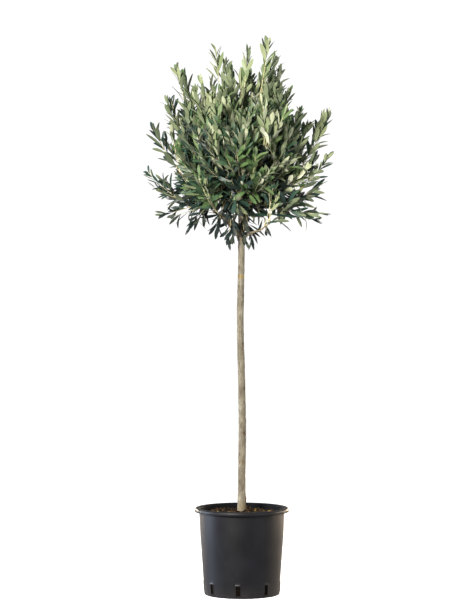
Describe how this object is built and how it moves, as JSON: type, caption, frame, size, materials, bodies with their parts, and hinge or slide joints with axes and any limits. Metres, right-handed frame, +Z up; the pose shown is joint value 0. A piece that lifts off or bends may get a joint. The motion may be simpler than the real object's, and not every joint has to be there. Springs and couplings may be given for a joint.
{
  "type": "potted olive tree",
  "caption": "Olive tree grown as a standard: one clear upright stem under a round leafy crown, in a round plastic nursery pot with a rolled rim.",
  "frame": {"origin": "middle of the pot's flat underside, on the surface the pot stands on", "axes": "+Z up along the stem; -Y is the front, the side with the drain slot just left of the middle; +X is to the right seen from the front"},
  "size_m": [0.6188, 0.5336, 1.7837],
  "materials": {
    "pot_plastic": "satin",
    "compost": "matte",
    "bark": "matte",
    "foliage": "satin"
  },
  "bodies": {
    "root": {"pot": "pot_plastic", "soil": "compost", "trunk": "bark", "bough_leader": "bark", "bough_1": "bark", "bough_2": "bark", "bough_3": "bark", "bough_4": "bark", "bough_5": "bark", "bough_6": "bark", "foliage_top": "foliage", "foliage_upper_1": "foliage", "foliage_upper_2": "foliage", "foliage_upper_3": "foliage", "foliage_upper_4": "foliage", "foliage_middle_1": "foliage", "foliage_middle_2": "foliage", "foliage_middle_3": "foliage", "foliage_middle_4": "foliage", "foliage_middle_5": "foliage", "foliage_lower_1": "foliage", "foliage_lower_2": "foliage", "foliage_lower_3": "foliage", "foliage_lower_4": "foliage"}
  },
  "joints": []
}
